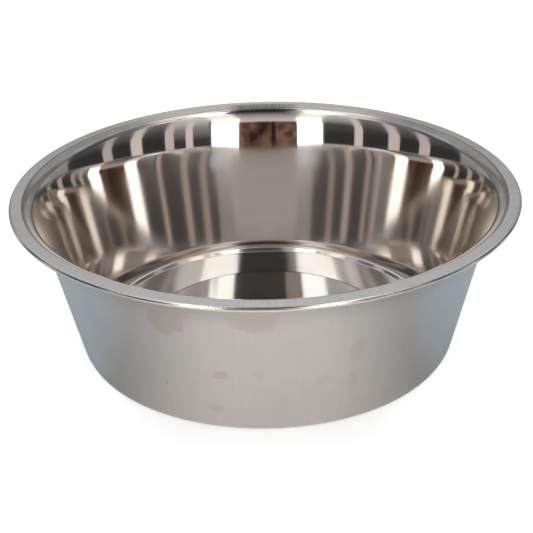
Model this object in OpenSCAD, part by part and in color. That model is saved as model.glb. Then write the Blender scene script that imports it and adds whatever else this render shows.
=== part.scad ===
// Round feeding bowl, drawn from one steel sheet, with a rubber ring bonded into the groove under its base.
// Z is the axis of the bowl, and the origin is where it meets the surface that the bowl stands on.
// The sheet is followed from the axis outwards along its middle line, and each bend radius is of that line.

/* [Rim] */
// Diameter over the curled edge
rim_d = 280; // [220:1:340]
// Height of the middle of the curled edge above the steel foot
rim_h = 89.3; // [60:0.2:120]
// Width of the flat part of the flange
flange_w = 5.4; // [3:0.1:12]
// Fall of the flange towards the curled edge, in degrees
flange_fall = 1; // [0:0.5:12]
// Radius of the bend from the wall into the flange
rim_bend_r = 6.4; // [3:0.1:12]
// Outside radius of the curled edge
curl_r = 1.4; // [1.3:0.1:2.4]
// How far round the edge is curled, in degrees
curl_turn = 265; // [190:5:270]

/* [Wall] */
// Thickness of the sheet
sheet_t = 0.6; // [0.5:0.05:1]
// Lean of the wall from the vertical, in degrees
wall_lean = 13.5; // [5:0.1:25]
// Radius of the upper of the two bends from the wall into the foot
side_bend_r = 12.3; // [6:0.1:20]
// Slope where the upper bend passes into the lower one, in degrees
side_slope = 51.6; // [30:0.2:60]
// Radius of the lower of the two bends
foot_bend_r = 3; // [1.6:0.1:4]

/* [Flare] */
// Lean of the wall between the two bends by which it widens towards the rim, in degrees
draft_lean = 20.5; // [10:0.5:30]
// Radius of the lower of these two bends
draft_bend_r = 102; // [40:1:200]
// Lean of the wall where it passes into the rim's bend, in degrees
flare_lean = 30; // [20:0.5:45]
// Radius of the upper of these two bends
flare_bend_r = 35; // [15:1:60]

/* [Base] */
// Width of the flat that the steel foot would stand on
foot_w = 0.8; // [0.4:0.2:6]
// Radius of the bend from the foot up into the ridge's flank
flank_bend_r = 1.5; // [1:0.1:3]
// Slope of the ridge's flank, in degrees
flank_slope = 75; // [50:1:80]
// Height of the ridge's top above the steel foot
ridge_h = 8; // [7:0.1:12]
// Radius of the bend along the ridge's top
ridge_bend_r = 1.5; // [1:0.1:3]
// Slope of the ridge on its inner side, in degrees
ridge_slope = 50; // [25:1:65]
// Height of the floor above the steel foot, where it meets the ridge
shoulder_h = 5.8; // [4.6:0.1:6]
// Radius of the bend from the floor into the ridge
shoulder_bend_r = 1; // [0.6:0.1:3]
// Width of the sloping part of the floor, inside the ridge
slope_w = 22.2; // [10:0.2:35]
// Height of the middle of the floor above the steel foot
floor_h = 2.6; // [1.5:0.1:4]
// Radius of the crease round the middle of the floor
crease_bend_r = 6; // [2:0.5:20]

/* [Ring] */
// Width of the rubber ring
ring_w = 8; // [5:0.5:12]
// How far the rubber ring stands out below the steel foot
ring_proud = 0.5; // [0.2:0.1:1.5]
// Thickness of the film of adhesive between the ring and the sheet
bond_t = 0.1; // [0.05:0.05:0.3]

/* [Hidden] */
$fn = 180;
// Largest turn of one facet round a bend, in degrees
bend_step = 10;

half_t = sheet_t / 2;
foot_z = ring_proud + half_t;
ridge_z = ring_proud + ridge_h - half_t;
shoulder_z = ring_proud + shoulder_h - half_t;
floor_z = ring_proud + floor_h - half_t;
wall_slope = 90 - wall_lean;
draft_slope = 90 - draft_lean;
flare_slope = 90 - flare_lean;

// Unit vectors along a slope and to the left of it
function along(slope) = [cos(slope), sin(slope)];
function left_of(slope) = [-sin(slope), cos(slope)];

// Where a line through p with one slope is crossed by a line through q with another
function crossing(p, slope_p, q, slope_q) =
    let (share = ((q - p) * left_of(slope_q)) / (along(slope_p) * left_of(slope_q)))
    p + share * along(slope_p);

// The point at height z on the line through p
function at_height(p, slope, z) = crossing(p, slope, [0, z], 0);

// Distance from a corner to where a bend of radius r begins, when the slope turns by the given angle
function run_up(r, turn) = r * tan(abs(turn) / 2);

// Corners of the middle line, worked out from the curled edge inwards
curl_mid_r = curl_r - half_t;
curl_centre = [rim_d / 2 - curl_r, ring_proud + rim_h];
flange_end = curl_centre + curl_mid_r * left_of(-flange_fall);
rim_bend_run = run_up(rim_bend_r, flare_slope + flange_fall);
rim_corner = flange_end - (flange_w + rim_bend_run) * along(-flange_fall);
flare_bend_run = run_up(flare_bend_r, draft_slope - flare_slope);
flare_corner = rim_corner - (rim_bend_run + flare_bend_run) * along(flare_slope);
draft_bend_run = run_up(draft_bend_r, wall_slope - draft_slope);
draft_corner = flare_corner - (flare_bend_run + draft_bend_run) * along(draft_slope);

side_run = run_up(side_bend_r, wall_slope - side_slope) + run_up(foot_bend_r, side_slope);
side_corner = at_height(draft_corner, wall_slope, foot_z + side_run * sin(side_slope));
foot_outer_corner = side_corner - side_run * along(side_slope);
foot_run = run_up(foot_bend_r, side_slope) + foot_w + run_up(flank_bend_r, flank_slope);
foot_inner_corner = foot_outer_corner - [foot_run, 0];

// The ridge's bend touches the flank, and its top is at the ridge's height
flank_top = at_height(foot_inner_corner, -flank_slope, ridge_z);
ridge_crown = flank_top - [run_up(ridge_bend_r, flank_slope), 0];
ridge_centre = ridge_crown - [0, ridge_bend_r];
ridge_corner = crossing(
    foot_inner_corner, -flank_slope,
    ridge_centre + ridge_bend_r * left_of(ridge_slope), ridge_slope
);
shoulder_corner = at_height(ridge_corner, ridge_slope, shoulder_z);
crease_corner = [shoulder_corner[0] - slope_w, floor_z];
floor_centre = [0, floor_z];

// Each corner with the radius of its bend
corners = [
    [floor_centre, 0],
    [crease_corner, crease_bend_r],
    [shoulder_corner, shoulder_bend_r],
    [ridge_corner, ridge_bend_r],
    [foot_inner_corner, flank_bend_r],
    [foot_outer_corner, foot_bend_r],
    [side_corner, side_bend_r],
    [draft_corner, draft_bend_r],
    [flare_corner, flare_bend_r],
    [rim_corner, rim_bend_r],
    [flange_end, 0]
];

// Slope from corner i to the next one
function slope_after(i) =
    let (run = corners[i + 1][0] - corners[i][0])
    atan2(run[1], run[0]);

// An arc from one slope to another, on the face that lies the given distance to the left of the middle line
function arc(centre, r, from, to, left) =
    let (
        turn = to - from,
        steps = ceil(abs(turn) / bend_step)
    )
    [for (i = [0 : steps]) centre - (sign(turn) * r - left) * left_of(from + turn * i / steps)];

// The bend at corner i, on that face
function bend(i, left) =
    let (
        from = slope_after(i - 1),
        to = slope_after(i),
        r = corners[i][1],
        start = corners[i][0] - run_up(r, to - from) * along(from),
        centre = start + sign(to - from) * r * left_of(from)
    )
    arc(centre, r, from, to, left);

function bends(first, last, left) = [for (i = [first : last]) each bend(i, left)];

// The whole of one face of the sheet, from the axis to the cut edge inside the curl
function face(left) = concat(
    [floor_centre + [0, left]],
    bends(1, len(corners) - 2, left),
    arc(curl_centre, curl_mid_r, -flange_fall, -flange_fall - curl_turn, left)
);

function reversed(points) = [for (i = [len(points) - 1 : -1 : 0]) points[i]];

// Which corners the ring lies against
shoulder_i = 2;
ridge_i = 3;

module bowl_pressing() {
    color("silver")
    rotate_extrude()
    polygon(concat(face(half_t), reversed(face(-half_t))));
}

// The ring fills the groove under the ridge and is cut square at its inner edge
module non_slip_ring() {
    under = -(half_t + bond_t);
    groove = bends(shoulder_i, ridge_i, under);
    slope = slope_after(shoulder_i - 1);
    flank_foot = at_height(groove[len(groove) - 1], -flank_slope, foot_z + flank_bend_r);
    inner_r = flank_foot[0] - ring_w;
    inner_top = crossing([inner_r, 0], 90, groove[0], slope);
    color("dimgray")
    rotate_extrude()
    polygon(concat([[inner_r, 0], inner_top], groove, [flank_foot, [flank_foot[0], 0]]));
}

bowl_pressing();
non_slip_ring();
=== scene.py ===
# Stainless feeding bowl: its finish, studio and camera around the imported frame.
# Metres throughout, with Z up along the bowl's axis and the origin on the surface that it stands on.
import math

import bpy
import numpy as np
from mathutils import Matrix, Vector


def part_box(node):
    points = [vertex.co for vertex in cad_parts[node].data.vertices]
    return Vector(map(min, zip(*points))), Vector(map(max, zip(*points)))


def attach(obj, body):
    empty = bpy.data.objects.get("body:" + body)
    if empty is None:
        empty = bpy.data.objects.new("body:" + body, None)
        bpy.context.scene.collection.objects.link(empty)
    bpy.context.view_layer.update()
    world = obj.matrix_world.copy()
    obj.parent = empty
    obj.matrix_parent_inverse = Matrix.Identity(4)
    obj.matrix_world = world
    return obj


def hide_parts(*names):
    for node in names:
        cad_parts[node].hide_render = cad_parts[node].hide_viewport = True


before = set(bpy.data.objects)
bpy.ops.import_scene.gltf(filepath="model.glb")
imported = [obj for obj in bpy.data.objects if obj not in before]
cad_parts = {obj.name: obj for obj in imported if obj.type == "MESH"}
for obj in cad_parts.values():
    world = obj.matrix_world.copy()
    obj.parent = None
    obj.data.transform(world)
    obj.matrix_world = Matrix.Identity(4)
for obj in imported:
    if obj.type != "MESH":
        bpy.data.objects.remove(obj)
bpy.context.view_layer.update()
pressing_low, pressing_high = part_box("bowl_pressing")

# Sizes of the sheet's middle line, the ones that the pressing is drawn from
SHEET_T = 0.0006
RIM_H = 0.0893
FLANGE_W = 0.0054
FLANGE_FALL = math.radians(1)
RIM_BEND_R = 0.0064
CURL_R = 0.0014
CURL_TURN = math.radians(265)
WALL_SLOPE = math.radians(90 - 13.5)
DRAFT_SLOPE = math.radians(90 - 20.5)
DRAFT_BEND_R = 0.102
FLARE_SLOPE = math.radians(90 - 30)
FLARE_BEND_R = 0.035
SIDE_BEND_R = 0.0123
SIDE_SLOPE = math.radians(51.6)
FOOT_BEND_R = 0.003
FOOT_W = 0.0008
FLANK_BEND_R = 0.0015
FLANK_SLOPE = math.radians(75)
RIDGE_H = 0.008
RIDGE_BEND_R = 0.0015
RIDGE_SLOPE = math.radians(50)
SHOULDER_H = 0.0058
SHOULDER_BEND_R = 0.001
SLOPE_W = 0.0222
FLOOR_H = 0.0026
CREASE_BEND_R = 0.006

# Facets round the bowl
SEGMENTS = 288
# The largest turn of one facet in a bend, in a bend smaller than SMALL_BEND_R, and in the curl
BEND_STEP = math.radians(3)
SMALL_BEND_STEP = math.radians(6)
SMALL_BEND_R = 0.0028
CURL_STEP = math.radians(12)
# The longest facet in a bend, and on a straight stretch
BEND_LENGTH = 0.0016
SPAN_LENGTH = 0.006
# Points nearer together than SAME_PLACE are one, and a point nearer to the axis than AXIS_R is on it
SAME_PLACE = 0.000001
AXIS_R = 1e-9
# Share of a facet by which a count may be over a whole number through rounding
ROUNDING = 1e-6

half_t = SHEET_T / 2
curl_mid_r = CURL_R - half_t
rim_r = pressing_high.x
steel_low = pressing_low.z
foot_z = steel_low + half_t
ridge_z = steel_low + RIDGE_H - half_t
shoulder_z = steel_low + SHOULDER_H - half_t
floor_z = steel_low + FLOOR_H - half_t


def along(slope):
    return np.array((math.cos(slope), math.sin(slope)))


def left_of(slope):
    return np.array((-math.sin(slope), math.cos(slope)))


def crossing(p, slope_p, q, slope_q):
    """The point where the line through p with one slope is crossed by the line through q with another."""
    share = (q - p) @ left_of(slope_q) / (along(slope_p) @ left_of(slope_q))
    return p + share * along(slope_p)


def at_height(p, slope, z):
    return crossing(p, slope, np.array((0, z)), 0)


def run_up(r, turn):
    """Distance from a corner to where a bend of radius r begins."""
    return r * math.tan(abs(turn) / 2)


def sheet_corners():
    """The corners of the sheet's middle line from the axis to the flange, and the centre of the curl.

    Each corner has its bend radius and the zone that it and the stretch before it belong to.
    """
    curl_middle = np.array((rim_r - CURL_R, steel_low + RIM_H))
    flange_end = curl_middle + curl_mid_r * left_of(-FLANGE_FALL)
    rim_run = run_up(RIM_BEND_R, FLARE_SLOPE + FLANGE_FALL)
    rim_corner = flange_end - (FLANGE_W + rim_run) * along(-FLANGE_FALL)
    flare_run = run_up(FLARE_BEND_R, DRAFT_SLOPE - FLARE_SLOPE)
    flare_corner = rim_corner - (rim_run + flare_run) * along(FLARE_SLOPE)
    draft_run = run_up(DRAFT_BEND_R, WALL_SLOPE - DRAFT_SLOPE)
    draft_corner = flare_corner - (flare_run + draft_run) * along(DRAFT_SLOPE)
    side_run = run_up(SIDE_BEND_R, WALL_SLOPE - SIDE_SLOPE) + run_up(FOOT_BEND_R, SIDE_SLOPE)
    side_corner = at_height(draft_corner, WALL_SLOPE, foot_z + side_run * math.sin(SIDE_SLOPE))
    foot_outer = side_corner - side_run * along(SIDE_SLOPE)
    foot_run = run_up(FOOT_BEND_R, SIDE_SLOPE) + FOOT_W + run_up(FLANK_BEND_R, FLANK_SLOPE)
    foot_inner = foot_outer - np.array((foot_run, 0))
    flank_top = at_height(foot_inner, -FLANK_SLOPE, ridge_z)
    crown = flank_top - np.array((run_up(RIDGE_BEND_R, FLANK_SLOPE), 0))
    ridge_centre = crown - np.array((0, RIDGE_BEND_R))
    ridge_edge = ridge_centre + RIDGE_BEND_R * left_of(RIDGE_SLOPE)
    ridge_corner = crossing(foot_inner, -FLANK_SLOPE, ridge_edge, RIDGE_SLOPE)
    shoulder = at_height(ridge_corner, RIDGE_SLOPE, shoulder_z)
    crease = np.array((shoulder[0] - SLOPE_W, floor_z))
    line = [
        (np.array((0, floor_z)), 0, "floor"),
        (crease, CREASE_BEND_R, "floor"),
        (shoulder, SHOULDER_BEND_R, "ridge"),
        (ridge_corner, RIDGE_BEND_R, "ridge"),
        (foot_inner, FLANK_BEND_R, "foot"),
        (foot_outer, FOOT_BEND_R, "foot"),
        (side_corner, SIDE_BEND_R, "wall"),
        (draft_corner, DRAFT_BEND_R, "wall"),
        (flare_corner, FLARE_BEND_R, "wall"),
        (rim_corner, RIM_BEND_R, "rim"),
        (flange_end, 0, "flange"),
    ]
    return line, curl_middle


corners, curl_centre = sheet_corners()
crease_r = corners[1][0][0]


def slope_to(a, b):
    run, rise = b - a
    return math.atan2(rise, run)


def arc(centre, r, start, end, left, step):
    """Points and slopes round a bend, on the face that lies `left` to the left of the middle line."""
    turn = end - start
    count = max(1, math.ceil(abs(turn) / step - ROUNDING))
    slopes = [start + turn * i / count for i in range(count + 1)]
    return [(centre - (math.copysign(r, turn) - left) * left_of(s), s) for s in slopes]


def span(start, end, slope, zone):
    """Rows that part a straight stretch of the face into even lengths, without its two ends."""
    count = max(1, math.ceil(np.linalg.norm(end - start) / SPAN_LENGTH))
    return [(start + (end - start) * i / count, slope, zone) for i in range(1, count)]


def sheet_face(left):
    """One face of the sheet from the axis to the cut edge: (point, slope, zone) rows."""
    slopes = [slope_to(a, b) for (a, _, _), (b, _, _) in zip(corners, corners[1:])]
    middle = corners[0][0]
    rows = [(middle + np.array((0, left)), 0, "floor")]
    for i in range(1, len(corners) - 1):
        corner, r, zone = corners[i]
        start = slopes[i - 1]
        end = slopes[i]
        side = math.copysign(1, end - start)
        centre = corner - run_up(r, end - start) * along(start) + side * r * left_of(start)
        step = SMALL_BEND_STEP if r < SMALL_BEND_R else min(BEND_STEP, BEND_LENGTH / r)
        bend = arc(centre, r, start, end, left, step)
        first = bend[0][0]
        before = rows[-1][0]
        if np.linalg.norm(first - before) > SAME_PLACE:
            rows += span(before, first, start, zone)
        else:
            bend = bend[1:]
        rows += [(p, s, zone) for p, s in bend]
    last = curl_centre + (curl_mid_r + left) * left_of(-FLANGE_FALL)
    rows += span(rows[-1][0], last, -FLANGE_FALL, "flange")
    rows.append((last, -FLANGE_FALL, "flange"))
    curl = arc(curl_centre, curl_mid_r, -FLANGE_FALL, -FLANGE_FALL - CURL_TURN, left, CURL_STEP)
    rows += [(p, s, "curl") for p, s in curl[1:]]
    return rows


def placed(name, data):
    """A new object in the scene."""
    piece = bpy.data.objects.new(name, data)
    bpy.context.scene.collection.objects.link(piece)
    return piece


def lathe(name, rows, materials):
    """A closed body of revolution. Each row is (point, normal, finish), from the axis back to the axis."""
    verts = []
    normals = []
    faces = []
    face_finishes = []
    names = list(materials)
    turns = [2 * math.pi * k / SEGMENTS for k in range(SEGMENTS)]
    for (r, z), (nr, nz), _ in rows:
        if r < AXIS_R:
            verts.append((0, 0, z))
            normals.append((0, 0, nz))
            continue
        for a in turns:
            verts.append((r * math.cos(a), r * math.sin(a), z))
            normals.append((nr * math.cos(a), nr * math.sin(a), nz))
    first = 0
    for (p, _, _), (q, _, finish) in zip(rows, rows[1:]):
        p_ring = p[0] >= AXIS_R
        q_ring = q[0] >= AXIS_R
        second = first + (SEGMENTS if p_ring else 1)
        for k in range(SEGMENTS):
            n = (k + 1) % SEGMENTS
            if not p_ring:
                face = (first, second + k, second + n)
            elif not q_ring:
                face = (first + k, second, first + n)
            else:
                face = (first + k, second + k, second + n, first + n)
            faces.append(face)
            face_finishes.append(names.index(finish))
        first = second
    mesh = bpy.data.meshes.new(name)
    mesh.from_pydata(verts, [], faces)
    for finish in names:
        mesh.materials.append(materials[finish])
    mesh.polygons.foreach_set("material_index", face_finishes)
    mesh.shade_smooth()
    mesh.normals_split_custom_set_from_vertices(normals)
    mesh.update()
    return placed(name, mesh)


# Colours are linear. Steel reflects a little more red than blue
STEEL = (0.64, 0.6, 0.565)
HAZY_STEEL = (0.62, 0.575, 0.535)
NEUTRAL_STEEL = (0.61, 0.605, 0.6)
# Painted dark: the shade along the floor's crease, and the reflection in the streaked patch at the back of
# the rim
PAINTED_DARK_STEEL = (0.2, 0.19, 0.185)
# Painted shade for the sides of the bend into the flange, in two tones that mix in random scuffed patches
RIM_SHADE_STEEL = (0.35, 0.336, 0.324)
SCUFFED_SHADE_STEEL = (0.29, 0.278, 0.269)
SATIN_STEEL = (0.57, 0.545, 0.54)
PALE_SATIN_STEEL = (0.64, 0.615, 0.61)
# Painted shade along the wrinkles of the rolled edge
WRINKLE_SHADE_STEEL = (0.45, 0.43, 0.42)
OUTSIDE_STEEL = (0.5, 0.482, 0.47)
BRUSHED_STEEL = (0.44, 0.425, 0.415)
# The colour that the outside darkens to towards the rim
DARKER_TOP_STEEL = (0.33, 0.315, 0.305)
SMUDGE = (0.42, 0.375, 0.335)
SHEEN = (1.0, 0.86, 0.75)
RUBBER = (0.03, 0.03, 0.03)
WORN_RUBBER = (0.06, 0.06, 0.058)

# The range of a noise that is mapped to the whole of a change
NOISE_LOW = 0.3
NOISE_HIGH = 0.7

# The streaked patch at the back of the rim, painted dark as a painted reflection with streaks like brushing:
# half of its angle, the share of that over which its sides fade, the radii between which it lies, and half
# the width over which it fades at each
PATCH_ANGLE = 0.15
PATCH_FADE = 0.3
PATCH_INNER_R = 0.1275
PATCH_OUTER_R = 0.1345
PATCH_INNER_FADE = 0.0006
PATCH_OUTER_FADE = 0.0008

# Half the width of the painted shade line round the crease in the middle of the floor, and how dark it is
CREASE_SHADE_HALF_WIDTH = 0.0011
CREASE_SHADE_DEPTH = 0.7

# Heights between which the wall turns from dull to buffed, and dull again below the flange
BUFFED_FROM_TO = (0.06, 0.07)
DULL_FROM_TO = (0.081, 0.089)
# Heights between which the outside turns darker towards the rim
OUTSIDE_DARKER_FROM_TO = (0.066, 0.084)

# Angles from the front, in radians, between which the bend into the flange goes from painted shade with
# scuffs to a painted highlight and a smoother polish
HIGHLIGHT_AND_POLISH_BACK = (2.35, 2.75)
HIGHLIGHT_AND_POLISH_FRONT = (1.4, 1.0)

# Stains on the outside: angle in degrees to the right of the front, height of the middle, half of the angle
# that it takes up, half of its height, and how dark it is
STAINS = (
    (-23.5, 0.071, 5.5, 0.009, 0.75),
    (-3, 0.076, 6.5, 0.008, 0.7),
    (-14, 0.081, 14, 0.004, 0.5),
    (-3.2, 0.0396, 1.8, 0.003, 0.25),
    (-12, 0.0384, 1.8, 0.0025, 0.7),
    (-14.6, 0.0149, 2.2, 0.0025, 0.4),
    (13.3, 0.0332, 2.2, 0.003, 0.4),
    (22.5, 0.05, 1.8, 0.009, 0.35),
    (22, 0.029, 1.6, 0.009, 0.3),
    (-27.8, 0.0271, 0.5, 0.0009, 0.9),
)
# Shares of a stain's half size at which it ends and at which it is full
STAIN_END = 1.15
STAIN_FULL = 0.8

# Changes per radian along a fine line that runs round the bowl
LINE_CHANGES = 3.0


def ends(middle, half):
    """The two ends of a range, the first one the higher where half of its width is negative."""
    return middle - half, middle + half


class Nodes:
    """A node tree. Each call adds to it and returns the new socket or sockets."""

    def __init__(self, tree):
        self.tree = tree

    def feed(self, socket, value):
        """Links the socket to another, or sets it to a plain value."""
        if isinstance(value, bpy.types.NodeSocket):
            self.tree.links.new(value, socket)
        else:
            socket.default_value = value

    def math(self, operation, *values):
        node = self.tree.nodes.new("ShaderNodeMath")
        node.operation = operation
        for socket, value in zip(node.inputs, values):
            self.feed(socket, value)
        return node.outputs[0]

    def length(self, a, b):
        squares = self.math("ADD", self.math("POWER", a, 2.0), self.math("POWER", b, 2.0))
        return self.math("SQRT", squares)

    def vector(self, x, y, z):
        node = self.tree.nodes.new("ShaderNodeCombineXYZ")
        for socket, value in zip(node.inputs, (x, y, z)):
            self.feed(socket, value)
        return node.outputs[0]

    def split(self, vector):
        """The X, Y and Z of a vector."""
        node = self.tree.nodes.new("ShaderNodeSeparateXYZ")
        self.tree.links.new(vector, node.inputs[0])
        return node.outputs

    def angle_of(self, x, y):
        """The angle round the bowl's axis: 0 at the front, and positive to the right."""
        return self.math("ARCTAN2", x, self.math("MULTIPLY", y, -1.0))

    def position(self):
        return self.tree.nodes.new("ShaderNodeNewGeometry").outputs["Position"]

    def rays(self):
        """What kinds of ray see this place."""
        return self.tree.nodes.new("ShaderNodeLightPath").outputs

    def noise(self, vector, scale, detail, roughness=0.5):
        node = self.tree.nodes.new("ShaderNodeTexNoise")
        self.feed(node.inputs["Vector"], vector)
        node.inputs["Scale"].default_value = scale
        node.inputs["Detail"].default_value = detail
        node.inputs["Roughness"].default_value = roughness
        return node.outputs[0]

    def between(self, value, low, high, out_low=0.0, out_high=1.0, shape="SMOOTHSTEP"):
        """The value mapped from one range to another, and held at its ends."""
        node = self.tree.nodes.new("ShaderNodeMapRange")
        node.interpolation_type = shape
        self.feed(node.inputs["Value"], value)
        node.inputs["From Min"].default_value = low
        node.inputs["From Max"].default_value = high
        node.inputs["To Min"].default_value = out_low
        node.inputs["To Max"].default_value = out_high
        return node.outputs["Result"]

    def light(self, tint, strength):
        node = self.tree.nodes.new("ShaderNodeEmission")
        node.inputs["Color"].default_value = (*tint, 1)
        self.feed(node.inputs["Strength"], strength)
        return node.outputs[0]

    def sum_of(self, shader_a, shader_b):
        node = self.tree.nodes.new("ShaderNodeAddShader")
        self.tree.links.new(shader_a, node.inputs[0])
        self.tree.links.new(shader_b, node.inputs[1])
        return node.outputs[0]

    def end(self, shader):
        """Makes the shader the surface of the material."""
        node = self.tree.nodes.new("ShaderNodeOutputMaterial")
        self.tree.links.new(shader, node.inputs[0])


class Graph(Nodes):
    """The material of a piece. Its angle and radius are taken round the bowl's axis."""

    def __init__(self, name):
        self.mat = bpy.data.materials.new(name)
        self.mat.use_nodes = True
        super().__init__(self.mat.node_tree)
        self.shader = self.tree.nodes["Principled BSDF"]
        self.place = self.tree.nodes.new("ShaderNodeTexCoord").outputs["Object"]
        x, y, self.z = self.split(self.place)
        self.angle = self.angle_of(x, y)
        self.radius = self.length(x, y)

    def mix(self, share, a, b):
        """Two colours mixed, each of them plain or a socket."""
        node = self.tree.nodes.new("ShaderNodeMix")
        node.data_type = "RGBA"
        self.feed(node.inputs["Factor"], share)
        for name, value in (("A", a), ("B", b)):
            socket = [s for s in node.inputs if s.name == name and s.type == "RGBA"][0]
            self.feed(socket, value if isinstance(value, bpy.types.NodeSocket) else (*value, 1))
        return [s for s in node.outputs if s.type == "RGBA"][0]

    def bump(self, height, depth, normal=None):
        """A normal shaped by a height from 0 to 1 that stands for the depth, on top of another normal."""
        node = self.tree.nodes.new("ShaderNodeBump")
        node.inputs["Strength"].default_value = 1
        node.inputs["Distance"].default_value = depth
        self.feed(node.inputs["Height"], height)
        if normal is not None:
            self.feed(node.inputs["Normal"], normal)
        return node.outputs[0]

    def patches(self, scale, detail, low=0.0, high=1.0):
        """A value that goes from low to high in soft patches."""
        return self.between(self.noise(self.place, scale, detail), NOISE_LOW, NOISE_HIGH, low, high)

    def fine_lines(self, x, y, z):
        """Lines that run along the coordinate that changes least from place to place."""
        return self.noise(self.vector(x, y, z), scale=1.0, detail=3.0, roughness=0.6)

    def lines_around(self, per_metre):
        """Fine lines that run round the bowl."""
        turn = self.math("MULTIPLY", self.angle, LINE_CHANGES)
        out_and_up = self.math("MULTIPLY", self.math("ADD", self.radius, self.z), per_metre)
        out_and_down = self.math("MULTIPLY", self.math("SUBTRACT", self.radius, self.z), per_metre)
        return self.fine_lines(turn, out_and_up, out_and_down)

    def lines_up(self, per_radian, per_metre):
        """Fine lines that run up the bowl."""
        turn = self.math("MULTIPLY", self.angle, per_radian)
        out_and_up = self.math("MULTIPLY", self.math("ADD", self.radius, self.z), per_metre)
        return self.fine_lines(turn, out_and_up, 0.0)

    def stain(self, angle, height, wide, tall, depth, ragged):
        """How much of a stain lies here."""
        across = self.math("SUBTRACT", self.angle, math.radians(angle))
        up = self.math("SUBTRACT", self.z, height)
        across = self.math("DIVIDE", across, math.radians(wide))
        up = self.math("DIVIDE", up, tall)
        away = self.math("ADD", self.length(across, up), ragged)
        return self.between(away, STAIN_END, STAIN_FULL, 0.0, depth)

    def painted_dark_brushed_patch(self):
        """How much this place belongs to the streaked patch at the back of the rim, which is painted dark as
        a painted reflection.
        """
        side_end = math.pi - PATCH_ANGLE * (1 + PATCH_FADE)
        side_full = math.pi - PATCH_ANGLE * (1 - PATCH_FADE)
        behind = self.between(self.math("ABSOLUTE", self.angle), side_end, side_full)
        inner = self.between(self.radius, *ends(PATCH_INNER_R, PATCH_INNER_FADE))
        outer = self.between(self.radius, *ends(PATCH_OUTER_R, -PATCH_OUTER_FADE))
        lines = self.lines_up(per_radian=260.0, per_metre=5.0)
        streaks = self.between(lines, 0.35, 0.6, out_low=0.45, out_high=1.0)
        streaked = self.math("MULTIPLY", behind, streaks)
        return self.math("MULTIPLY", streaked, self.math("MULTIPLY", inner, outer))

    def finish(self, colour, roughness, normal, metallic=1.0, anisotropy=0.0, turn=0.25):
        """The finished material. The turn is 0.25 for lines round the bowl, and 0 for lines across those."""
        self.feed(self.shader.inputs["Base Color"], colour)
        self.feed(self.shader.inputs["Roughness"], roughness)
        self.feed(self.shader.inputs["Normal"], normal)
        self.shader.inputs["Metallic"].default_value = metallic
        if anisotropy:
            self.shader.inputs["Anisotropic"].default_value = anisotropy
            self.shader.inputs["Anisotropic Rotation"].default_value = turn
            tangent = self.tree.nodes.new("ShaderNodeTangent")
            tangent.direction_type = "RADIAL"
            tangent.axis = "Z"
            self.tree.links.new(tangent.outputs[0], self.shader.inputs["Tangent"])
        return self.mat


def polished_floor():
    g = Graph("polished_floor")
    hazy = g.mix(g.patches(scale=30.0, detail=3.0), NEUTRAL_STEEL, HAZY_STEEL)
    # The floor is painted darker along the crease, as a painted shade line
    off_crease = g.math("ABSOLUTE", g.math("SUBTRACT", g.radius, crease_r))
    crease_shade = g.between(off_crease, CREASE_SHADE_HALF_WIDTH, 0.0, out_high=CREASE_SHADE_DEPTH)
    colour = g.mix(crease_shade, hazy, PAINTED_DARK_STEEL)
    roughness = g.patches(scale=60.0, detail=4.0, low=0.09, high=0.12)
    waves = g.bump(g.noise(g.place, scale=45.0, detail=1.0), depth=0.00004)
    lines = g.bump(g.lines_around(per_metre=1500.0), depth=0.0000004, normal=waves)
    return g.finish(colour, roughness, lines)


def buffed_wall():
    g = Graph("buffed_wall")
    colour = g.mix(g.patches(scale=25.0, detail=3.0), STEEL, HAZY_STEEL)
    worn = g.patches(scale=40.0, detail=4.0, high=0.015)
    buffed = g.math("ADD", worn, g.between(g.z, *BUFFED_FROM_TO, out_low=0.08, out_high=0.045))
    roughness = g.math("ADD", buffed, g.between(g.z, *DULL_FROM_TO, out_high=0.08))
    # This sheen shows only at glancing angles. It stands in for light that reaches the far left and right of
    # the inside after five or more reflections, which the renderer does not follow
    g.shader.inputs["Sheen Weight"].default_value = 0.85
    g.shader.inputs["Sheen Roughness"].default_value = 0.3
    g.shader.inputs["Sheen Tint"].default_value = (*SHEEN, 1)
    waves = g.bump(g.noise(g.place, scale=25.0, detail=1.0), depth=0.00003)
    lines = g.bump(g.lines_around(per_metre=1200.0), depth=0.0000004, normal=waves)
    return g.finish(colour, roughness, lines, anisotropy=0.5)


def painted_highlight_bend():
    """Bright at the back and the front and dark at the sides, as the photograph shows it: a painted
    highlight and painted shade, over random scuffed patches.
    """
    g = Graph("painted_highlight_bend")
    scuffed_shade = g.mix(g.patches(scale=80.0, detail=3.0), RIM_SHADE_STEEL, SCUFFED_SHADE_STEEL)
    away = g.math("ABSOLUTE", g.angle)
    # The bend's colour is a painted highlight at the back and the front and painted shade at the sides, and
    # its roughness is lower where the highlight is
    highlight_and_polish = g.math("MAXIMUM", g.between(away, *HIGHLIGHT_AND_POLISH_BACK), g.between(away, *HIGHLIGHT_AND_POLISH_FRONT))
    # The streaked patch at the back is painted dark, a painted reflection
    colour = g.mix(g.painted_dark_brushed_patch(), g.mix(highlight_and_polish, scuffed_shade, STEEL), PAINTED_DARK_STEEL)
    worn = g.patches(scale=100.0, detail=4.0, high=0.03)
    roughness = g.math("ADD", worn, g.between(highlight_and_polish, 0.0, 1.0, out_low=0.17, out_high=0.1))
    lines = g.bump(g.lines_around(per_metre=1500.0), depth=0.0000005)
    return g.finish(colour, roughness, lines, anisotropy=0.5)


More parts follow.
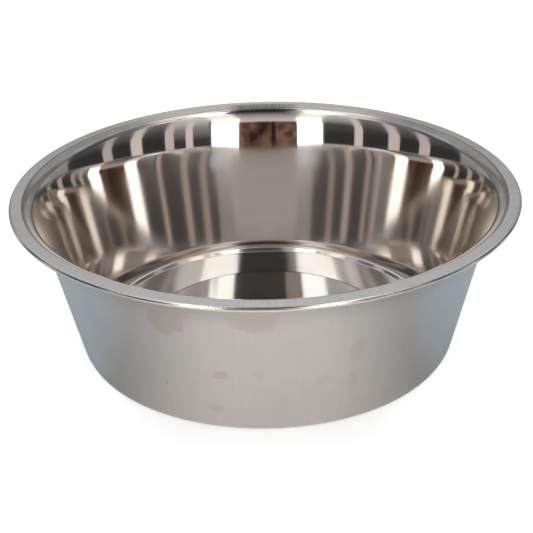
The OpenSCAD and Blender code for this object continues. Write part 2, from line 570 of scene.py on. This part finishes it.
def satin_flange():
    g = Graph("satin_flange")
    lines = g.lines_up(per_radian=230.0, per_metre=8.0)
    satin = g.mix(g.between(lines, NOISE_LOW, NOISE_HIGH), SATIN_STEEL, PALE_SATIN_STEEL)
    # The streaked patch at the back is painted dark, a painted reflection
    colour = g.mix(g.painted_dark_brushed_patch(), satin, PAINTED_DARK_STEEL)
    roughness = g.patches(scale=150.0, detail=4.0, low=0.21, high=0.26)
    return g.finish(colour, roughness, g.bump(lines, depth=0.000001), anisotropy=0.85, turn=0.0)


def rolled_edge():
    g = Graph("rolled_edge")
    wrinkles = g.lines_up(per_radian=220.0, per_metre=300.0)
    # The steel is painted darker along the wrinkles, as painted shade in them, over their real bumps
    colour = g.mix(g.between(wrinkles, 0.4, 0.7), STEEL, WRINKLE_SHADE_STEEL)
    roughness = g.between(wrinkles, NOISE_LOW, NOISE_HIGH, out_low=0.08, out_high=0.2)
    return g.finish(colour, roughness, g.bump(wrinkles, depth=0.00004))


def satin_outside():
    g = Graph("satin_outside")
    lines = g.lines_up(per_radian=160.0, per_metre=12.0)
    edges = g.noise(g.place, scale=90.0, detail=3.0, roughness=0.6)
    ragged = g.between(edges, 0.25, 0.75, out_low=-0.4, out_high=0.4)
    stained = 0.0
    for stain in STAINS:
        stained = g.math("MAXIMUM", stained, g.stain(*stain, ragged))
    clouds = g.noise(g.place, scale=28.0, detail=3.0, roughness=0.55)
    haze = g.between(clouds, 0.45, 0.8, out_high=0.25)
    brushed = g.mix(g.between(lines, NOISE_LOW, NOISE_HIGH, out_high=0.35), OUTSIDE_STEEL, BRUSHED_STEEL)
    # The outside's colour is darker towards the rim
    darker_top = g.mix(g.between(g.z, *OUTSIDE_DARKER_FROM_TO, out_high=0.55), brushed, DARKER_TOP_STEEL)
    colour = g.mix(g.math("MAXIMUM", stained, haze), darker_top, SMUDGE)
    roughness = g.patches(scale=60.0, detail=3.0, low=0.285, high=0.34)
    upright = g.bump(lines, depth=0.000002)
    rings = g.bump(g.lines_around(per_metre=700.0), depth=0.000001, normal=upright)
    return g.finish(colour, roughness, rings, anisotropy=0.35)


def moulded_rubber():
    g = Graph("moulded_rubber")
    colour = g.mix(g.patches(scale=80.0, detail=3.0), RUBBER, WORN_RUBBER)
    roughness = g.patches(scale=150.0, detail=3.0, low=0.6, high=0.8)
    grain = g.bump(g.noise(g.place, scale=2500.0, detail=3.0), depth=0.00003)
    return g.finish(colour, roughness, grain, metallic=0.0)


finishes = {
    "floor": polished_floor(),
    "wall": buffed_wall(),
    "bend": painted_highlight_bend(),
    "flange": satin_flange(),
    "curl": rolled_edge(),
    "outside": satin_outside(),
}
# The finish of each zone of the sheet's inner and upper face
ZONE_FINISH = {
    "floor": "floor",
    "ridge": "floor",
    "foot": "floor",
    "wall": "wall",
    "rim": "bend",
    "flange": "flange",
    "curl": "curl",
}


def bowl():
    upper = [(p, left_of(s), ZONE_FINISH[zone]) for p, s, zone in sheet_face(half_t)]
    under = []
    for p, s, zone in sheet_face(-half_t):
        under.append((p, -left_of(s), "curl" if zone == "curl" else "outside"))
    # The normals at the two corners of the cut edge lie half way between the face and the edge
    edge = along(-FLANGE_FALL - CURL_TURN)
    for face in (upper, under):
        point, normal, finish = face[-1]
        face[-1] = (point, (normal + edge) / math.sqrt(2), finish)
    return lathe("steel_sheet", upper + under[::-1], finishes)


sheet = bowl()
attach(sheet, "root")
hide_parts("bowl_pressing")

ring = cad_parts["non_slip_ring"]
ring.data.materials.clear()
ring.data.materials.append(moulded_rubber())

# The camera as it was solved from the photograph. It is aimed at the bowl's axis, at about the height of the
# curled edge, then tilted a little and rolled
AIM_Z = 0.0903
CAMERA_DISTANCE = 0.75325
CAMERA_ELEVATION = math.radians(23.4228)
CAMERA_TILT = -0.056978
CAMERA_ROLL = math.radians(-1.2428)
CAMERA_NEAR = 0.05
CAMERA_FAR = 20
PHOTO_PX = 533
FOCAL_PX = 1361.48
# Width of the sensor in millimetres
SENSOR = 36


def place_camera():
    data = bpy.data.cameras.new("camera")
    data.sensor_width = SENSOR
    data.lens = FOCAL_PX / PHOTO_PX * SENSOR
    data.clip_start = CAMERA_NEAR
    data.clip_end = CAMERA_FAR
    back = Vector((0, -math.cos(CAMERA_ELEVATION), math.sin(CAMERA_ELEVATION)))
    up = Vector((1, 0, 0)).cross(-back)
    look = (-back + CAMERA_TILT * up).normalized()
    right = look.cross(Vector((0, 0, 1))).normalized()
    up = right.cross(look)
    rolled_right = math.cos(CAMERA_ROLL) * right + math.sin(CAMERA_ROLL) * up
    rolled_up = -math.sin(CAMERA_ROLL) * right + math.cos(CAMERA_ROLL) * up
    turn = Matrix((rolled_right, rolled_up, -look)).transposed().to_4x4()
    camera = placed("camera", data)
    camera.matrix_world = Matrix.Translation(Vector((0, 0, AIM_Z)) + CAMERA_DISTANCE * back) @ turn
    bpy.context.scene.camera = camera


place_camera()

# The studio is laid out on a dome over the bowl. Azimuth 0 is towards the camera and positive to the right,
# elevation is from the level of the dome's middle, strengths are linear, and 1 is white
DOME_MIDDLE = np.array((0, 0, 0.05))
# Distance from the dome's middle of a card that lies neither before nor behind others, and of the lining
DOME_R = 0.9
LINING_R = 1.0
# Columns of facets on a panel, rows between two of its edges, and columns to each side of a lining
PANEL_COLUMNS = 6
PANEL_ROWS = 4
LINING_COLUMNS = 24
# Height of an upright strip
STRIP_H = 0.85
# The range of the noise in a patchy card, and its detail
PATCHY_LOW = 0.4
PATCHY_HIGH = 0.62
PATCHY_DETAIL = 5

# Tints of the light
WHITE = (1, 1, 1)
COOL = (0.94, 0.98, 1.0)
BLUISH = (0.84, 0.92, 1.05)
PALE_BLUE = (0.955, 0.985, 1.0)
GREY = (0.95, 0.97, 1.0)
WARM_WHITE = (1.0, 0.96, 0.91)
BEIGE = (1.0, 0.94, 0.9)
WARM = (1.0, 0.92, 0.9)
CREAM = (1.0, 0.92, 0.85)
BROWN = (1.0, 0.75, 0.6)
ORANGE = (1.0, 0.56, 0.38)

# Half the width of the floor, and its colour
FLOOR_HALF = 8
FLOOR_CLOTH = (0.8, 0.8, 0.8)
# What the bowl mirrors of the floor in front of it and at its sides
FRONT_TABLE = (0.42, 0.39, 0.365)
SIDE_TABLE = (0.04, 0.1, 0.16)
# How much white the camera sees on the floor in front of the bowl and at its sides, besides the light on it
FRONT_WHITE = 0.46
SIDE_WHITE = 0.63
# Angles from the front, in radians, at which each of these is full and at which it is gone
FRONT_WHITE_ANGLES = (0.35, 1.1)
FRONT_TABLE_ANGLES = (0.2, 1.0)
SIDE_TABLE_ANGLES = (1.3, 0.9)
# The world's strength in reflections, and as a light
WORLD_MIRRORED = 0.75
WORLD_LIGHT = 0.6

# Upright strips of pale cloth round the bowl: place on the floor, width and strength
STRIPS = (
    (-0.453, -0.288, 0.048, 0.88),
    (-0.343, -0.034, 0.047, 0.78),
    (-0.321, 0.096, 0.047, 0.7),
    (0.346, -0.344, 0.038, 0.88),
    (0.399, -0.251, 0.046, 0.75),
    (0.415, -0.071, 0.055, 0.88),
    (0.418, 0.078, 0.05, 0.62),
)


def on_dome(azimuth, elevation, reach):
    a = math.radians(azimuth)
    e = math.radians(elevation)
    out = np.array((math.sin(a) * math.cos(e), -math.cos(a) * math.cos(e), math.sin(e)))
    return tuple(DOME_MIDDLE + reach * out)


def emptied(mat):
    """The material's nodes, with those that it starts with taken out."""
    mat.use_nodes = True
    mat.node_tree.nodes.clear()
    return Nodes(mat.node_tree)


def glow(name, tint, strength, heights=None, patches=None):
    """A plain emitting finish, of one strength, or of two at two heights or in patches of the size given."""
    mat = bpy.data.materials.new(name)
    nodes = emptied(mat)
    if heights:
        strength = nodes.between(nodes.split(nodes.position())["Z"], *heights, *strength, "LINEAR")
    if patches:
        clouds = nodes.noise(nodes.position(), 1 / patches, PATCHY_DETAIL)
        strength = nodes.between(clouds, PATCHY_LOW, PATCHY_HIGH, *strength, "LINEAR")
    nodes.end(nodes.light(tint, strength))
    return mat


def card(name, rows, mat, lights=False):
    """A studio card between left and right edges, given as rows of points. The camera does not see it."""
    width = len(rows[0])
    verts = [p for row in rows for p in row]
    starts = [(i * width + k, (i + 1) * width + k) for i in range(len(rows) - 1) for k in range(width - 1)]
    faces = [(low, low + 1, high + 1, high) for low, high in starts]
    mesh = bpy.data.meshes.new(name)
    mesh.from_pydata(verts, [], faces)
    mesh.materials.append(mat)
    piece = placed(name, mesh)
    piece.visible_camera = False
    piece.visible_shadow = False
    piece.visible_diffuse = lights


def panel(name, edges, tint, strength, heights=None, patches=None, reach=DOME_R, lights=False):
    """A card on the dome, given as (elevation, left azimuth, right azimuth) rows."""
    rows = []
    for (e0, l0, r0), (e1, l1, r1) in zip(edges, edges[1:]):
        for i in range(PANEL_ROWS):
            share = i / PANEL_ROWS
            rows.append((e0 + (e1 - e0) * share, l0 + (l1 - l0) * share, r0 + (r1 - r0) * share))
    rows.append(edges[-1])
    points = []
    for elevation, left, right in rows:
        azimuths = [left + (right - left) * k / PANEL_COLUMNS for k in range(PANEL_COLUMNS + 1)]
        points.append([on_dome(azimuth, elevation, reach) for azimuth in azimuths])
    card(name, points, glow(name, tint, strength, heights, patches), lights)


def lining(name, elevations, azimuth, strength, heights):
    """Dark cloth round the front and the sides, as far as an azimuth to the left and to the right."""
    columns = range(-LINING_COLUMNS, LINING_COLUMNS + 1)
    azimuths = [azimuth * k / LINING_COLUMNS for k in columns]
    points = [[on_dome(a, elevation, LINING_R) for a in azimuths] for elevation in elevations]
    card(name, points, glow(name, GREY, strength, heights))


def strip(name, x, y, width, strength):
    """An upright strip of pale cloth that faces the bowl."""
    side = Vector((-y, x, 0)).normalized() * width / 2
    rows = [[Vector((x, y, z)) - side, Vector((x, y, z)) + side] for z in (0.0, STRIP_H)]
    card(name, rows, glow(name, WARM, strength))


def studio():
    lining("dark_low", (-4, 5, 15, 25, 35), 125, (0.045, 0.17), (0.3, 0.6))
    lining("dark_high", (35, 42, 50, 58, 66, 74, 82, 89), 118, (0.17, 0.3), (0.6, 0.8))
    panel("dark_middle", ((43, -24, 20), (55, -32, 30), (66, -45, 45), (80, -70, 70), (89, -90, 90)),
          GREY, (0.15, 0.06), heights=(0.7, 0.92), reach=0.95)

    # Two tall softboxes in front, each going on into a warm frame and a box overhead
    panel("softbox_left", ((-3, -34, -19.3), (32, -34.3, -19.6), (34.5, -35, -20)), COOL, 3.5, lights=True)
    panel("softbox_right", ((-3, 14.6, 30), (32, 14.2, 30), (34.5, 15, 31)), COOL, 3.5, lights=True)
    panel("rim_left", ((34.5, -35, -20), (45, -40, -23), (50, -45, -26)), CREAM, 1.5, lights=True)
    panel("rim_right", ((34.5, 15, 31), (45, 19, 38), (50, 23, 43)), CREAM, 1.5, lights=True)
    panel("top_box_left",
          ((50, -45, -26), (55, -50, -29), (61, -58, -33), (66, -76, -36), (70, -84, -39), (77, -92, -43)),
          COOL, (3.2, 2.6), heights=(0.72, 0.86), lights=True)
    panel("top_box_right",
          ((50, 23, 43), (55, 27, 48), (61, 31, 56), (66, 33, 70), (70, 36, 78), (77, 41, 88)),
          COOL, (3.2, 2.6), heights=(0.72, 0.86), lights=True)

    # Between the softboxes, a pale field over a brown one with a dark bar in it
    panel("pale_middle", ((26, -19.2, 14.4), (33, -19.2, 14.4), (43.5, -23, 18.5)),
          BEIGE, (0.76, 0.38), heights=(0.52, 0.66))
    panel("brown_left", ((4, -19.2, -7), (26, -19.2, -7)), ORANGE, (0.09, 0.28), patches=0.1)
    panel("dark_bar", ((4, -7, -4.5), (26, -7, -4.5)), BROWN, 0.03)
    panel("brown_middle", ((4, -4.5, 8), (26, -4.5, 8)), ORANGE, (0.04, 0.24), patches=0.13)
    panel("brown_right", ((4, 8, 14.5), (26, 8, 14.5)), ORANGE, (0.12, 0.3), patches=0.1)
    panel("beige_strip", ((48, -26, -17), (62, -30, -17), (70, -37, -28), (77, -41, -31)), BEIGE, 0.5)

    # Above the sides
    panel("wing_left", ((53, -92, -46), (62, -96, -58)), COOL, 0.8, reach=0.92)
    panel("wing_right", ((53, 45, 84), (62, 56, 90)), COOL, 0.6, reach=0.92)
    panel("top_left", ((62, -118, -60), (78, -118, -60)), COOL, 1.35, reach=0.93)
    panel("top_right", ((62, 60, 118), (78, 60, 118)), COOL, 1.3, reach=0.93)

    # Behind the bowl
    panel("back_wall", ((28, 142, 218), (62, 142, 218)), PALE_BLUE, (0.83, 0.75), heights=(0.45, 0.7))
    panel("back_top", ((62, 100, 260), (76, 100, 260), (89, 100, 260)),
          WARM_WHITE, (0.58, 0.5), heights=(0.85, 0.95))
    panel("lamp_left", ((64, -146, -112), (73, -146, -112), (82, -164, -112)), WARM_WHITE, 1.6, reach=0.89)
    panel("lamp_right", ((64, 110, 132), (72, 110, 142), (82, 110, 164)), WARM_WHITE, 1.5, reach=0.89)
    panel("back_low", ((-4, 177, 183), (24, 177, 183)), PALE_BLUE, (0.6, 0.75), heights=(0.15, 0.45))

    # Beside the softboxes
    panel("warm_left", ((46, -86, -48), (53, -86, -54)), CREAM, 1.7, reach=0.91)
    panel("warm_right", ((46, 46, 84), (53, 50, 84)), CREAM, 1.8, reach=0.91)
    panel("haze_left", ((26, -54, -34), (50, -56, -36)),
          GREY, (0.13, 0.85), heights=(0.44, 0.74), reach=0.95)
    panel("haze_right", ((8, 30, 53), (50, 34, 56)),
          GREY, (0.06, 0.95), heights=(0.25, 0.74), reach=0.95)

    # From the sides round to the back
    panel("back_shade", ((23, 140, 220), (28.5, 140, 220)), WARM_WHITE, 0.3, reach=0.89)
    panel("blue_left", ((36, -146, -118), (60, -146, -118)), BLUISH, 1.15)
    panel("blue_right", ((36, 126, 146), (60, 126, 146)), BLUISH, 1.15)
    for side in (-1, 1):
        panel(f"grey_{side}", ((-4, side * 125, side * 142), (34, side * 125, side * 142)),
              GREY, (0.33, 0.58), heights=(0.15, 0.5))
        panel(f"dim_{side}", ((-4, side * 142, side * 163), (30, side * 142, side * 163)),
              GREY, (0.44, 0.55), heights=(0.15, 0.45))
        panel(f"mid_{side}", ((-4, side * 163, side * 169), (31, side * 163, side * 170)),
              WARM_WHITE, (0.55, 0.5), heights=(0.15, 0.45))
    panel("pale_left", ((-4, -177, -169), (31, -178, -170)), WARM_WHITE, (0.6, 0.95), heights=(0.15, 0.45))
    panel("pale_right", ((-4, 169, 177), (31, 170, 178)), WARM_WHITE, (0.6, 0.8), heights=(0.15, 0.45))
    for i, (x, y, width, strength) in enumerate(STRIPS):
        strip(f"strip_{i}", x, y, width, strength)


def seen_white(nodes, mirrored):
    """1 to the camera and through glass, and the strength given in reflections. It is 0 as a light."""
    rays = nodes.rays()
    seen = nodes.math("ADD", rays["Is Camera Ray"], rays["Is Transmission Ray"])
    return nodes.math("ADD", seen, nodes.math("MULTIPLY", rays["Is Glossy Ray"], mirrored))


def round_bowl(nodes, full, gone):
    """1 at one angle from the front, to either side, and 0 at another."""
    x, y, _ = nodes.split(nodes.position())
    return nodes.between(nodes.math("ABSOLUTE", nodes.angle_of(x, y)), full, gone, 1.0, 0.0)


def floor():
    """White cloth. The camera sees it lit up to white, and the bowl mirrors a darker table."""
    mat = bpy.data.materials.new("white_floor")
    nodes = emptied(mat)
    cloth = nodes.tree.nodes.new("ShaderNodeBsdfDiffuse")
    cloth.inputs["Color"].default_value = (*FLOOR_CLOTH, 1)
    front = round_bowl(nodes, *FRONT_WHITE_ANGLES)
    white = nodes.between(front, 0.0, 1.0, SIDE_WHITE, FRONT_WHITE, "LINEAR")
    lights = [(WHITE, nodes.math("MULTIPLY", seen_white(nodes, 0.0), white))]
    mirrored = nodes.rays()["Is Glossy Ray"]
    for tint, angles in ((FRONT_TABLE, FRONT_TABLE_ANGLES), (SIDE_TABLE, SIDE_TABLE_ANGLES)):
        lights.append((tint, nodes.math("MULTIPLY", mirrored, round_bowl(nodes, *angles))))
    total = cloth.outputs[0]
    for tint, strength in lights:
        total = nodes.sum_of(total, nodes.light(tint, strength))
    nodes.end(total)
    half = FLOOR_HALF
    mesh = bpy.data.meshes.new("floor")
    square = [(-half, -half, 0), (half, -half, 0), (half, half, 0), (-half, half, 0)]
    mesh.from_pydata(square, [], [(0, 1, 2, 3)])
    mesh.materials.append(mat)
    piece = placed("floor", mesh)


def white_world():
    world = bpy.data.worlds.new("studio")
    bpy.context.scene.world = world
    world.use_nodes = True
    nodes = Nodes(world.node_tree)
    background = world.node_tree.nodes["Background"]
    background.inputs["Color"].default_value = (*WHITE, 1)
    strength = nodes.math("MAXIMUM", seen_white(nodes, WORLD_MIRRORED), WORLD_LIGHT)
    nodes.feed(background.inputs["Strength"], strength)


studio()
floor()
white_world()

bpy.context.scene.view_settings.view_transform = "Standard"
